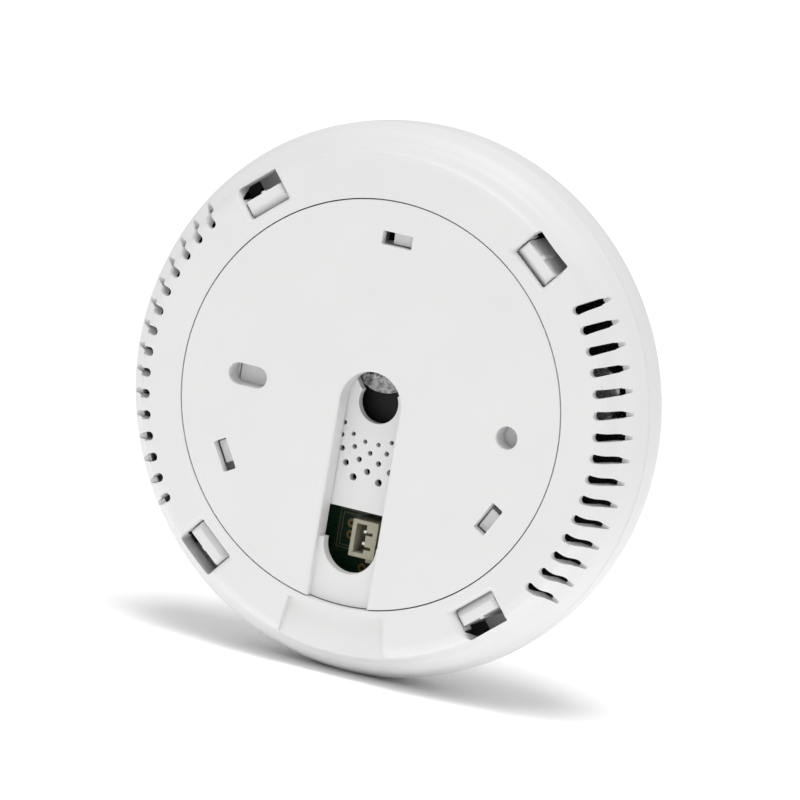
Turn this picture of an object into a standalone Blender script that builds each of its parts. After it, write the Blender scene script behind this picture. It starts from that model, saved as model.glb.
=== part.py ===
"""Round wall and ceiling smoke alarm, twisted onto its mounting plate.

The alarm stands upright as on a wall: X runs along the wall, +Z is up, and the wall face of the mounting
plate lies in the plane Y = 0 with the alarm's axis on the Y axis. Depths are counted from that plane
towards the room. Everything is in metres.
"""

import math

import bmesh
import bpy
from mathutils import Matrix, Vector

MM = 0.001

# Mounting plate
PLATE_RADIUS = 43.0 * MM
PLATE_FACE = 2.0 * MM
PLATE_DEPTH = 4.5 * MM
PLATE_RIM = 1.6 * MM
CHANNEL_HALF_WIDTH = 6.9 * MM
CHANNEL_DEPTH = 2.0 * MM
CHANNEL_WALL = 1.5 * MM
CHANNEL_STEP_Z = -30.0 * MM
CHANNEL_FOOT_RADIUS = 6.0 * MM
CHANNEL_FOOT_Z = -30.5 * MM
SCREW_HOLE_X = 31.6 * MM
SCREW_HOLE_RADIUS = 2.4 * MM
SCREW_SLOT_X = -28.4 * MM
SCREW_SLOT_LENGTH = 8.8 * MM
SCREW_SLOT_RADIUS = 2.3 * MM
SCREW_BOSS_WALL = 1.8 * MM

# Bayonet between the plate and the housing
BAYONET_RADIUS = 35.3 * MM
BAYONET_ANGLES = (90.0, 210.0, 330.0)
BAYONET_SLOT = (6.8 * MM, 2.9 * MM)

# Rear housing
RECESS_RADIUS = 43.4 * MM
RECESS_FLOOR = 4.8 * MM
SHELL = 1.8 * MM
RING_OUTER_RADIUS = 51.8 * MM
REAR_EDGE = 11.0 * MM
VENT_COUNT = 15
VENT_PITCH = 5.0
VENT_HALF_WIDTH = 0.95 * MM
VENT_INNER_RADIUS = 50.6 * MM
VENT_OUTER_RADIUS = 55.4 * MM
VENT_POCKET_RADIUS = 58.5 * MM
VENT_POCKET_DEPTH = 6.9 * MM
SNAP_ANGLES = (50.0, 130.0, 230.0, 310.0)
SNAP_WINDOW = (46.3 * MM, 53.4 * MM, 11.0 * MM)
SNAP_TONGUE_OUTER = 50.1
SNAP_HOOK_RADIUS = 45.8
SNAP_HALF_WIDTH = 4.6 * MM
SOUND_PORT_RADIUS = 4.5 * MM
SOUND_RINGS = ((8.87, 0.50), (10.9, 0.55), (12.9, 0.62), (14.9, 0.70), (16.9, 0.80))
SOUND_HOLES_PER_RING = 18
HEADER_WINDOW = (12.0 * MM, -40.0 * MM, -23.3 * MM)
CABLE_RECESS_DEPTH = 1.5 * MM
VENT_SCREEN_RADII = (44.6 * MM, 56.3 * MM)
VENT_SCREEN_DEPTHS = (13.7 * MM, 14.0 * MM)
VENT_SCREEN_HALF_ANGLE = 41.0

# Circuit board
BOARD_BACK = 12.5 * MM
BOARD_FRONT = 14.1 * MM
BOARD_RADIUS = 44.0 * MM
BOARD_SCREW_RADIUS = 38.0 * MM
BOARD_SCREW_ANGLES = (95.0, 190.0, 320.0)

# Inner parts: (x, z) of their axes
CAPACITOR_AXIS = (45.0 * MM, 11.8 * MM)
CAPACITOR_RADIUS = 7.0 * MM
CHAMBER_AXIS = (25.5 * MM, 26.5 * MM)
CHAMBER_RADIUS = 15.6 * MM
BATTERY_AXIS = (-24.0 * MM, 24.2 * MM)
BATTERY_RADIUS = 8.5 * MM
BATTERY_HALF_LENGTH = 17.0 * MM
LIGHT_GUIDE_Z = 22.0 * MM

# Test button
BUTTON_RADIUS = 15.0 * MM
BUTTON_HOLE_RADIUS = 15.4 * MM
BUTTON_FRONT = 38.5 * MM
SPRING_RADIUS = 5.2 * MM
SPRING_WIRE = 0.3 * MM
SPRING_TURNS = 6

ROUND_STEPS = 72
TURN_TO_DEPTH = (math.pi / 2, 0.0, 0.0)


def clear_scene():
    for old in list(bpy.data.objects):
        bpy.data.objects.remove(old, do_unlink=True)


def new_collection(name):
    collection = bpy.data.collections.new(name)
    bpy.context.scene.collection.children.link(collection)
    return collection


clear_scene()
ALARM = new_collection("smoke_alarm")
CUTTERS = new_collection("cutters")


def material(name, color, roughness, metallic=0.0):
    found = bpy.data.materials.get(name)
    if found:
        return found
    made = bpy.data.materials.new(name)
    made.use_nodes = True
    shader = made.node_tree.nodes["Principled BSDF"]
    shader.inputs["Base Color"].default_value = (*color, 1.0)
    shader.inputs["Roughness"].default_value = roughness
    shader.inputs["Metallic"].default_value = metallic
    return made


WHITE = material("white_abs", (0.80, 0.80, 0.79), 0.45)
BLACK = material("black_plastic", (0.02, 0.02, 0.02), 0.55)
GREEN = material("green_board", (0.02, 0.09, 0.04), 0.40)
CREAM = material("cream_nylon", (0.66, 0.61, 0.46), 0.45)
STEEL = material("bright_steel", (0.65, 0.65, 0.66), 0.25, 1.0)
BRASS = material("brass", (0.72, 0.53, 0.24), 0.30, 1.0)
FOIL = material("aluminium_foil", (0.72, 0.72, 0.72), 0.30, 1.0)
SLEEVE = material("battery_sleeve", (0.10, 0.16, 0.38), 0.35)
CLEAR = material("clear_acrylic", (0.85, 0.88, 0.90), 0.10)
CERAMIC = material("grey_ceramic", (0.55, 0.55, 0.53), 0.50)
RED = material("red_epoxy", (0.60, 0.04, 0.03), 0.25)


def register(obj, name, finish):
    """Names a part, gives it its material and files it with the alarm."""
    obj.name = name
    obj.data.name = name
    obj.data.materials.clear()
    obj.data.materials.append(finish)
    for collection in list(obj.users_collection):
        collection.objects.unlink(obj)
    ALARM.objects.link(obj)
    return obj


def as_cutter(obj, name):
    """Files a shape with the cutters, out of the render and drawn as wire."""
    obj.name = name
    obj.hide_render = True
    obj.display_type = "WIRE"
    for collection in list(obj.users_collection):
        collection.objects.unlink(obj)
    CUTTERS.objects.link(obj)
    return obj


def combine(target, tool, operation="DIFFERENCE"):
    modifier = target.modifiers.new(tool.name, "BOOLEAN")
    modifier.operation = operation
    modifier.solver = "EXACT"
    modifier.object = tool


def object_from(bm, name):
    mesh = bpy.data.meshes.new(name)
    bm.to_mesh(mesh)
    bm.free()
    obj = bpy.data.objects.new(name, mesh)
    bpy.context.scene.collection.objects.link(obj)
    return obj


def turned(name, profile, steps=ROUND_STEPS, axis=(0.0, 0.0), spin=0.0):
    """A part turned about an axis along Y; the profile is (radius, depth) in millimetres.

    It starts on the wall side and runs down the outside towards the room. A profile that starts and
    ends on the axis stays open; any other is closed into a ring. The spin, in degrees, moves the facets'
    edges round, clear of the cuts.
    """
    bm = bmesh.new()
    ring = [bm.verts.new((radius * MM, 0.0, -depth * MM)) for radius, depth in profile]
    for first, second in zip(ring, ring[1:]):
        bm.edges.new((first, second))
    if profile[0][0] > 0.0:
        bm.edges.new((ring[-1], ring[0]))
    obj = object_from(bm, name)
    obj.rotation_euler = (math.pi / 2, -math.radians(spin), 0.0)
    obj.location = (axis[0], 0.0, axis[1])
    screw = obj.modifiers.new("Screw", "SCREW")
    screw.steps = steps
    screw.render_steps = steps
    screw.use_merge_vertices = True
    screw.merge_threshold = 0.00001
    return obj


def add_block(bm, low, high, turn=0.0):
    """Adds a box between two corners in millimetres, then turns it about the Y axis by degrees."""
    size = [(b - a) * MM for a, b in zip(low, high)]
    middle = [(a + b) * MM / 2 for a, b in zip(low, high)]
    spin = Matrix.Rotation(-math.radians(turn), 4, "Y")
    place = spin @ Matrix.Translation(middle) @ Matrix.Diagonal((*size, 1.0))
    bmesh.ops.create_cube(bm, size=1.0, matrix=place)


def blocks(name, corners):
    """One object of several boxes, each (low corner, high corner) in millimetres, with a turn if given."""
    bm = bmesh.new()
    for corner in corners:
        add_block(bm, *corner)
    return object_from(bm, name)


def add_rod(bm, x, z, radius, start, end, sides=16):
    """Adds a cylinder along Y at (x, z), between two depths, in metres."""
    place = Matrix.Translation((x, (start + end) / 2, z)) @ Matrix.Rotation(math.pi / 2, 4, "X")
    bmesh.ops.create_cone(bm, cap_ends=True, segments=sides, radius1=radius, radius2=radius,
                          depth=end - start, matrix=place)


def rods(name, places, radius, start, end, sides=16):
    bm = bmesh.new()
    for x, z in places:
        add_rod(bm, x, z, radius, start, end, sides)
    return object_from(bm, name)


def prism(name, outline, start, end):
    """A flat outline of (x, z) points in metres, thickened between two depths."""
    curve = bpy.data.curves.new(name, "CURVE")
    curve.dimensions = "2D"
    curve.fill_mode = "BOTH"
    curve.extrude = (end - start) / 2
    spline = curve.splines.new("POLY")
    spline.points.add(len(outline) - 1)
    for point, (x, z) in zip(spline.points, outline):
        point.co = (x, z, 0.0, 1.0)
    spline.use_cyclic_u = True
    flat = bpy.data.objects.new(name + "_curve", curve)
    bpy.context.scene.collection.objects.link(flat)
    flat.rotation_euler = TURN_TO_DEPTH
    flat.location = (0.0, (start + end) / 2, 0.0)
    return meshed(flat, name)


def meshed(curve_object, name):
    """Turns a curve object into a mesh object in the same place, with its caps welded."""
    bpy.context.view_layer.update()
    graph = bpy.context.evaluated_depsgraph_get()
    mesh = bpy.data.meshes.new_from_object(curve_object.evaluated_get(graph))
    obj = bpy.data.objects.new(name, mesh)
    bpy.context.scene.collection.objects.link(obj)
    obj.matrix_world = curve_object.matrix_world.copy()
    bm = bmesh.new()
    bm.from_mesh(mesh)
    bmesh.ops.remove_doubles(bm, verts=bm.verts, dist=0.00001)
    bmesh.ops.recalc_face_normals(bm, faces=bm.faces)
    bm.to_mesh(mesh)
    bm.free()
    bpy.data.objects.remove(curve_object, do_unlink=True)
    return obj


def arc(centre, radius, start, end, steps):
    """Points of (x, z) along an arc, angles in degrees from +X towards +Z."""
    points = []
    for index in range(steps + 1):
        angle = math.radians(start + (end - start) * index / steps)
        points.append((centre[0] + radius * math.cos(angle), centre[1] + radius * math.sin(angle)))
    return points


def wire(name, paths, radius, finish):
    """Round wires along paths of (x, y, z) points in metres, as one part."""
    curve = bpy.data.curves.new(name, "CURVE")
    curve.dimensions = "3D"
    curve.bevel_depth = radius
    curve.bevel_resolution = 2
    curve.use_fill_caps = True
    for path in paths:
        spline = curve.splines.new("POLY")
        spline.points.add(len(path) - 1)
        for point, place in zip(spline.points, path):
            point.co = (*place, 1.0)
    guide = bpy.data.objects.new(name + "_curve", curve)
    bpy.context.scene.collection.objects.link(guide)
    return register(meshed(guide, name), name, finish)


def polar(radius, angle):
    return (radius * math.cos(math.radians(angle)), radius * math.sin(math.radians(angle)))


def slot_outline(x_start, x_end, z, radius):
    """A slot with round ends, level, between the centres of its two ends."""
    return arc((x_end, z), radius, -90, 90, 8) + arc((x_start, z), radius, 90, 270, 8)


def channel_outline(half_width, foot):
    """The wire channel: round over the axis, straight down to the given z."""
    return arc((0.0, 0.0), half_width, 0, 180, 16) + [(-half_width, foot), (half_width, foot)]


def make_mounting_plate():
    rim = PLATE_RADIUS / MM
    inner = rim - PLATE_RIM / MM
    face = PLATE_FACE / MM
    deep = PLATE_DEPTH / MM
    plate = turned("mounting_plate", [(0, 0), (rim - 0.3, 0), (rim, 0.3), (rim, deep), (inner, deep),
                                      (inner, face), (0, face)], spin=1.3)
    register(plate, "mounting_plate", WHITE)
    half_slot = SCREW_SLOT_LENGTH / 2 - SCREW_SLOT_RADIUS
    slot_ends = (SCREW_SLOT_X - half_slot, SCREW_SLOT_X + half_slot)
    body_start = 1.0 * MM

    walls = prism("channel_walls", channel_outline(CHANNEL_HALF_WIDTH + CHANNEL_WALL, -42.0 * MM),
                  body_start, PLATE_DEPTH)
    combine(plate, as_cutter(walls, "channel_walls"), "UNION")
    boss = prism("slot_boss", slot_outline(*slot_ends, 0.0, SCREW_SLOT_RADIUS + SCREW_BOSS_WALL),
                 body_start, PLATE_DEPTH)
    combine(plate, as_cutter(boss, "slot_boss"), "UNION")
    boss = rods("hole_boss", [(SCREW_HOLE_X, 0.0)], SCREW_HOLE_RADIUS + SCREW_BOSS_WALL, body_start,
                PLATE_DEPTH, 32)
    combine(plate, as_cutter(boss, "hole_boss"), "UNION")

    # Each bayonet tab stands under its slot, on a short wall at the slot's inner side.
    radius = BAYONET_RADIUS / MM
    wall_low, wall_high = radius - 2.7, radius - 1.6
    for number, angle in enumerate(BAYONET_ANGLES):
        turn = angle - 90.0
        tab = blocks(f"bayonet_tab_{number}", [((-1.5, 3.6, wall_low + 0.5), (0.3, deep, radius + 0.9), turn)])
        wall = blocks(f"bayonet_wall_{number}", [((-4.2, 1.0, wall_low), (4.2, deep, wall_high), turn)])
        combine(plate, as_cutter(wall, wall.name), "UNION")
        combine(plate, as_cutter(tab, tab.name), "UNION")

    channel = channel_outline(CHANNEL_HALF_WIDTH, CHANNEL_STEP_Z)
    combine(plate, as_cutter(prism("channel_through", channel, -MM, 6 * MM), "channel_through"))
    foot = arc((0.0, CHANNEL_FOOT_Z), CHANNEL_FOOT_RADIUS, 180, 360, 16)
    foot += [(CHANNEL_FOOT_RADIUS, CHANNEL_STEP_Z + MM), (-CHANNEL_FOOT_RADIUS, CHANNEL_STEP_Z + MM)]
    combine(plate, as_cutter(prism("channel_foot", foot, -MM, 6 * MM), "channel_foot"))
    half_low = CHANNEL_HALF_WIDTH - 0.05 * MM
    low = [(-half_low, -50 * MM), (half_low, -50 * MM), (half_low, CHANNEL_STEP_Z + MM),
           (-half_low, CHANNEL_STEP_Z + MM)]
    combine(plate, as_cutter(prism("channel_low", low, -MM, CHANNEL_DEPTH), "channel_low"))

    slot = prism("screw_slot", slot_outline(*slot_ends, 0.0, SCREW_SLOT_RADIUS), -MM, 6 * MM)
    combine(plate, as_cutter(slot, "screw_slot"))
    hole = rods("screw_hole", [(SCREW_HOLE_X, 0.0)], SCREW_HOLE_RADIUS, -MM, 6 * MM, 24)
    combine(plate, as_cutter(hole, "screw_hole"))
    long, short = BAYONET_SLOT[0] / MM / 2, BAYONET_SLOT[1] / MM / 2
    slots = blocks("bayonet_slots", [((-long, -1.0, radius - short), (long, 2.9, radius + short), angle - 90.0)
                                     for angle in BAYONET_ANGLES])
    combine(plate, as_cutter(slots, "bayonet_slots"))


def vent_cutter(name, outline, end):
    """The same outline at every vent of both fans, as one cutter down to a depth in millimetres."""
    bm = bmesh.new()
    first = -(VENT_COUNT - 1) / 2 * VENT_PITCH
    for side in (0.0, 180.0):
        for index in range(VENT_COUNT):
            add_prism(bm, outline, -1.0, end, side + first + index * VENT_PITCH)
    bmesh.ops.recalc_face_normals(bm, faces=bm.faces)
    return as_cutter(object_from(bm, name), name)


def add_prism(bm, outline, start, end, turn):
    """Adds a thickened outline of (x, z) points in millimetres, turned about the Y axis by degrees."""
    spin = Matrix.Rotation(-math.radians(turn), 4, "Y")
    corners = [bm.verts.new(spin @ Vector((x * MM, start * MM, z * MM))) for x, z in outline]
    face = bm.faces.new(corners)
    pushed = bmesh.ops.extrude_face_region(bm, geom=[face])
    moved = [item for item in pushed["geom"] if isinstance(item, bmesh.types.BMVert)]
    bmesh.ops.translate(bm, verts=moved, vec=(0.0, (end - start) * MM, 0.0))


def make_rear_housing():
    floor = RECESS_FLOOR / MM
    wall = SHELL / MM
    recess = RECESS_RADIUS / MM
    ring = RING_OUTER_RADIUS / MM
    outside = [(recess, floor), (recess, 0.0), (ring, 0.0), (53.3, 1.2), (54.6, 4.9), (56.6, 6.5), (58.1, 9.9),
               (58.6, REAR_EDGE / MM)]
    inside = [(56.8, REAR_EDGE / MM), (55.4, 8.4), (53.2, 6.4), (51.6, wall), (recess + wall, wall),
              (recess + wall, floor + wall)]
    profile = [(0.0, floor)] + outside + inside + [(0.0, floor + wall)]
    housing = register(turned("rear_housing", profile, spin=VENT_PITCH / 2), "rear_housing", WHITE)

    posts = rods("board_posts", [polar(BOARD_SCREW_RADIUS, angle) for angle in BOARD_SCREW_ANGLES],
                 2.8 * MM, RECESS_FLOOR + 0.5 * MM, BOARD_BACK - 0.3 * MM, 14)
    combine(housing, as_cutter(posts, "board_posts"), "UNION")
    radius = BAYONET_RADIUS / MM
    for number, angle in enumerate(BAYONET_ANGLES):
        turn = angle - 90.0
        post = blocks(f"lug_post_{number}", [((0.6, 2.7, radius - 1.1), (3.1, floor + 0.8, radius + 1.1), turn)])
        head = blocks(f"lug_head_{number}", [((-1.6, 2.3, radius - 1.2), (3.2, 3.3, radius + 1.2), turn)])
        combine(housing, as_cutter(post, post.name), "UNION")
        combine(housing, as_cutter(head, head.name), "UNION")

    half = VENT_HALF_WIDTH / MM
    vent_inner, vent_outer = VENT_INNER_RADIUS / MM, VENT_OUTER_RADIUS / MM
    through = arc((vent_inner + half, 0.0), half, 90, 270, 5) + [(vent_outer, -half), (vent_outer, half)]
    combine(housing, vent_cutter("vent_slots", through, 9.6))
    pocket_end = VENT_POCKET_RADIUS / MM
    pocket = [(vent_outer - 0.5, 0.9 * half), (vent_outer - 0.5, -0.9 * half), (pocket_end, -0.9 * half),
              (pocket_end, 0.9 * half)]
    combine(housing, vent_cutter("vent_pockets", pocket, VENT_POCKET_DEPTH / MM))
    inner, outer, width = (value / MM for value in SNAP_WINDOW)
    windows = blocks("snap_windows", [((-width / 2, -1.0, inner), (width / 2, 9.0, outer), angle - 90.0)
                                      for angle in SNAP_ANGLES])
    combine(housing, as_cutter(windows, "snap_windows"))
    lug_gap = blocks("lug_gap", [((-4.6, floor - 0.5, radius - 1.3), (-0.2, floor + 3.0, radius + 1.3))])
    combine(housing, as_cutter(lug_gap, "lug_gap"))

    port = arc((0.0, 0.0), SOUND_PORT_RADIUS, 150, 390, 20)
    port += [(6.4 * MM, 4.8 * MM), (8.0 * MM, 9.0 * MM), (-8.0 * MM, 9.0 * MM), (-6.2 * MM, 4.8 * MM),
             (-4.6 * MM, 2.45 * MM)]
    combine(housing, as_cutter(prism("sound_port", port, 3 * MM, 8 * MM), "sound_port"))
    combine(housing, sound_hole_cutter())
    half, low, high = HEADER_WINDOW
    window = blocks("header_window", [((-half / MM, floor - 1.0, low / MM), (half / MM, floor + 3.0, high / MM))])
    combine(housing, as_cutter(window, "header_window"))
    recess_top = arc((0.0, 0.0), 44.9 * MM, 256, 284, 10)
    recess_outline = recess_top + [(13.6 * MM, -60 * MM), (-13.6 * MM, -60 * MM)]
    cable = prism("cable_recess", recess_outline, -MM, CABLE_RECESS_DEPTH)
    combine(housing, as_cutter(cable, "cable_recess"))
    bores = rods("post_bores", [polar(BOARD_SCREW_RADIUS, angle) for angle in BOARD_SCREW_ANGLES],
                 1.4 * MM, 7.4 * MM, 14 * MM, 12)
    combine(housing, as_cutter(bores, "post_bores"))


def sound_hole_cutter():
    """Rings of sound holes below the axis, every second ring half a pitch round."""
    bm = bmesh.new()
    pitch = 360.0 / SOUND_HOLES_PER_RING
    for ring, (radius, hole) in enumerate(SOUND_RINGS):
        shift = 0.0 if ring % 2 == 0 else pitch / 2
        for index in range(SOUND_HOLES_PER_RING):
            x, z = polar(radius * MM, shift + pitch * index)
            if z < -2.0 * MM:
                add_rod(bm, x, z, hole * MM, 4 * MM, 8 * MM, 6)
    return as_cutter(object_from(bm, "sound_holes"), "sound_holes")


def snap_tongue(name, angle):
    """A straight tongue whose tip leans in to a hook, which holds under the housing's flat ring."""
    tip, back = 1.0, 13.4
    outline = [(48.0, tip), (SNAP_TONGUE_OUTER, tip), (SNAP_TONGUE_OUTER, back), (48.0, back), (48.0, 4.3),
               (SNAP_HOOK_RADIUS, 4.3), (SNAP_HOOK_RADIUS, 3.3)]
    bm = bmesh.new()
    face = bm.faces.new([bm.verts.new((radius * MM, depth * MM, -SNAP_HALF_WIDTH)) for radius, depth in outline])
    pushed = bmesh.ops.extrude_face_region(bm, geom=[face])
    moved = [item for item in pushed["geom"] if isinstance(item, bmesh.types.BMVert)]
    bmesh.ops.translate(bm, verts=moved, vec=(0.0, 0.0, 2 * SNAP_HALF_WIDTH))
    bmesh.ops.recalc_face_normals(bm, faces=bm.faces)
    bm.transform(Matrix.Rotation(-math.radians(angle), 4, "Y"))
    return object_from(bm, name)


def make_front_cover():
    hole = BUTTON_HOLE_RADIUS / MM
    outside = [(56.9, 11.3), (58.5, 11.3), (58.7, 11.6), (58.7, 15.5), (58.2, 19.0), (57.0, 22.2),
               (54.8, 26.0), (51.5, 29.6), (46.0, 32.8), (36.0, 35.3), (24.0, 36.6), (hole, 36.9)]
    inside = [(hole, 35.2), (24.0, 34.8), (35.5, 33.5), (45.0, 31.1), (50.2, 28.1), (53.1, 24.9),
              (55.2, 21.6), (56.3, 18.6), (56.8, 15.3)]
    cover = register(turned("front_cover", outside + inside), "front_cover", WHITE)
    for number, angle in enumerate(SNAP_ANGLES):
        tongue = snap_tongue(f"snap_tongue_{number}", angle)
        bridge = blocks(f"snap_bridge_{number}", [((-4.0, 11.8, 49.0), (4.0, 13.0, 57.6), angle - 90.0)])
        combine(cover, as_cutter(tongue, tongue.name), "UNION")
        combine(cover, as_cutter(bridge, bridge.name), "UNION")
    guide_hole = rods("light_hole", [(0.0, LIGHT_GUIDE_Z)], 1.7 * MM, 30 * MM, 40 * MM, 14)
    combine(cover, as_cutter(guide_hole, "light_hole"))


def make_button():
    front = BUTTON_FRONT / MM
    edge = BUTTON_RADIUS / MM
    profile = [(0, 18.7), (1.6, 18.7), (1.6, 36.0), (13.4, 35.6), (13.4, 33.2), (16.6, 33.2), (16.6, 34.4),
               (edge, 34.4), (edge, 37.0), (edge - 0.4, 37.5), (edge - 1.2, 37.8), (9.0, front - 0.2), (0, front)]
    register(turned("test_button", profile, 48), "test_button", WHITE)

    path = []
    start, end = 15.0 * MM, 35.0 * MM
    steps_per_turn = 10
    for index in range(SPRING_TURNS * steps_per_turn + 1):
        angle = 2 * math.pi * index / steps_per_turn
        depth = start + (end - start) * index / (SPRING_TURNS * steps_per_turn)
        path.append((SPRING_RADIUS * math.cos(angle), depth, SPRING_RADIUS * math.sin(angle)))
    wire("button_spring", [path], SPRING_WIRE, STEEL)

    body = register(blocks("tact_switch_body", [((-3.0, 14.4, -3.0), (3.0, 17.6, 3.0))]),
                    "tact_switch_body", BLACK)
    bore = rods("switch_bore", [(0.0, 0.0)], 2.0 * MM, 16.3 * MM, 19 * MM, 16)
    combine(body, as_cutter(bore, "switch_bore"))
    register(rods("tact_switch_plunger", [(0.0, 0.0)], 1.7 * MM, 17.2 * MM, 18.4 * MM, 16),
             "tact_switch_plunger", BLACK)


def make_light_guide():
    axis = (0.0, LIGHT_GUIDE_Z)
    guide = [(0, 18.4), (1.3, 18.4), (1.3, 33.4), (2.4, 33.4), (2.4, 34.0), (1.3, 34.0), (1.3, 36.6), (0, 36.8)]
    register(turned("light_guide", guide, 16, axis), "light_guide", CLEAR)
    lamp = [(0, 14.4), (1.9, 14.4), (1.9, 15.2), (1.5, 15.2), (1.5, 16.9), (1.1, 17.7), (0, 18.1)]
    register(turned("status_led", lamp, 16, axis), "status_led", RED)


def make_board():
    board = register(turned("main_board", [(0, BOARD_BACK / MM), (BOARD_RADIUS / MM, BOARD_BACK / MM),
                                           (BOARD_RADIUS / MM, BOARD_FRONT / MM), (0, BOARD_FRONT / MM)], 72),
                     "main_board", GREEN)
    notch = rods("capacitor_notch", [CAPACITOR_AXIS], CAPACITOR_RADIUS + 0.6 * MM, 11 * MM, 16 * MM, 32)
    combine(board, as_cutter(notch, "capacitor_notch"))
    places = [polar(BOARD_SCREW_RADIUS, angle) for angle in BOARD_SCREW_ANGLES]
    holes = rods("board_holes", places, 1.7 * MM, 11 * MM, 16 * MM, 12)
    combine(board, as_cutter(holes, "board_holes"))
    for number, (x, z) in enumerate(places, 1):
        screw = register(rods(f"board_screw_{number}", [(x, z)], 2.6 * MM, 14.4 * MM, 16.0 * MM, 16),
                         f"board_screw_{number}", STEEL)
        shank = rods(f"screw_shank_{number}", [(x, z)], 1.05 * MM, 8.0 * MM, 15.0 * MM, 12)
        combine(screw, as_cutter(shank, shank.name), "UNION")
        slot = blocks(f"screw_drive_{number}", [((x / MM - 0.3, 15.2, z / MM - 1.6),
                                                 (x / MM + 0.3, 17.0, z / MM + 1.6))])
        combine(screw, as_cutter(slot, slot.name))


def make_header():
    header = register(blocks("wire_header", [((-1.4, 5.4, -33.2), (4.4, 12.2, -25.3))]), "wire_header", CREAM)
    foot = blocks("header_foot", [((2.3, 6.4, -34.1), (4.3, 12.1, -33.0))])
    combine(header, as_cutter(foot, "header_foot"), "UNION")
    mouth = blocks("header_mouth", [((-0.5, 4.0, -32.3), (1.9, 11.0, -26.1))])
    combine(header, as_cutter(mouth, "header_mouth"))
    keys = blocks("header_keys", [((1.5, 4.0, -28.3), (3.4, 8.5, -27.6)), ((1.5, 4.0, -31.4), (3.4, 8.5, -30.7))])
    combine(header, as_cutter(keys, "header_keys"))
    for number, z in enumerate((-30.5, -28.0), 1):
        pin = blocks(f"header_pin_{number}", [((0.4, 7.6, z - 0.3), (1.0, 10.7, z + 0.3))])
        register(pin, f"header_pin_{number}", STEEL)


def make_sounder():
    cup = [(0, 9.4), (5.0, 9.4), (5.0, 7.4), (18.9, 7.4), (18.9, 12.2), (17.4, 12.2), (17.4, 9.9), (15.6, 9.9),
           (15.6, 8.3), (5.9, 8.3), (5.9, 9.8), (0, 9.8)]
    register(turned("sounder_housing", cup, 36), "sounder_housing", BLACK)
    disc = rods("piezo_disc", [(0.0, 0.0)], 17.1 * MM, 10.2 * MM, 10.45 * MM, 48)
    register(disc, "piezo_disc", BRASS)
    ceramic = rods("piezo_ceramic", [(0.0, 0.0)], 12.5 * MM, 10.75 * MM, 11.0 * MM, 40)
    register(ceramic, "piezo_ceramic", CERAMIC)
    contacts = (((0.0, -15.0 * MM), 10.75 * MM), ((-6.0 * MM, -6.0 * MM), 11.3 * MM),
                ((6.0 * MM, -6.0 * MM), 11.3 * MM))
    for number, (place, start) in enumerate(contacts, 1):
        contact = rods(f"sounder_contact_{number}", [place], 0.7 * MM, start, 12.2 * MM, 8)
        register(contact, f"sounder_contact_{number}", STEEL)
    foil = rods("shield_foil", [(-0.8 * MM, 9.8 * MM)], 8.0 * MM, 6.9 * MM, 7.1 * MM, 40)
    register(foil, "shield_foil", FOIL)


def make_smoke_chamber():
    axis = CHAMBER_AXIS
    edge = CHAMBER_RADIUS / MM
    screen = [(0, 14.4), (edge, 14.4), (edge, 25.4), (edge - 0.4, 25.4), (edge - 0.4, 14.8), (0, 14.8)]
    register(turned("insect_screen", screen, 36, axis), "insect_screen", BLACK)
    base = register(turned("chamber_base", [(0, 15.1), (14.8, 15.1), (14.8, 16.6), (0, 16.6)], 40, axis),
                    "chamber_base", BLACK)
    bm = bmesh.new()
    vane_count = 14
    for index in range(vane_count):
        angle = 360.0 / vane_count * index
        if index in (0, 5):
            continue
        spin = Matrix.Rotation(-math.radians(angle), 4, "Y")
        lean = Matrix.Rotation(-math.radians(50.0), 4, "Y")
        centre = Matrix.Translation((12.2 * MM, 20.3 * MM, 0.0))
        size = Matrix.Diagonal((4.6 * MM, 8.2 * MM, 0.8 * MM, 1.0))
        place = Matrix.Translation((axis[0], 0.0, axis[1])) @ spin @ centre @ lean @ size
        bmesh.ops.create_cube(bm, size=1.0, matrix=place)
    combine(base, as_cutter(object_from(bm, "chamber_vanes"), "chamber_vanes"), "UNION")
    cap = [(0, 24.7), (14.8, 24.7), (15.0, 25.8), (0, 25.8)]
    register(turned("chamber_cap", cap, 40, axis), "chamber_cap", BLACK)
    vane_pitch = 360.0 / vane_count
    lamp_profile = [(0.0, 2.6), (1.0, 2.3), (1.5, 1.4), (1.5, -2.0), (1.9, -2.0), (1.9, -2.8), (0.0, -2.8)]
    chamber_emitter("infrared_led", lamp_profile, 0.0)
    cell_profile = [(0.0, 2.0), (1.4, 1.8), (2.0, 1.0), (2.0, -2.4), (0.0, -2.4)]
    chamber_emitter("photodiode", cell_profile, vane_pitch * 5)


def make_vent_screens():
    """A thin screen behind each fan of vents, from the board's edge out to the cover's wall."""
    for number, middle in enumerate((0.0, 180.0), 1):
        first, last = middle - VENT_SCREEN_HALF_ANGLE, middle + VENT_SCREEN_HALF_ANGLE
        outline = arc((0.0, 0.0), VENT_SCREEN_RADII[1], first, last, 24)
        outline += arc((0.0, 0.0), VENT_SCREEN_RADII[0], last, first, 24)
        screen = prism(f"vent_screen_{number}", outline, *VENT_SCREEN_DEPTHS)
        register(screen, f"vent_screen_{number}", BLACK)
        if number == 1:
            notch = rods("screen_notch", [CAPACITOR_AXIS], CAPACITOR_RADIUS + 0.6 * MM, 12 * MM, 16 * MM, 30)
            combine(screen, as_cutter(notch, "screen_notch"))


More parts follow.
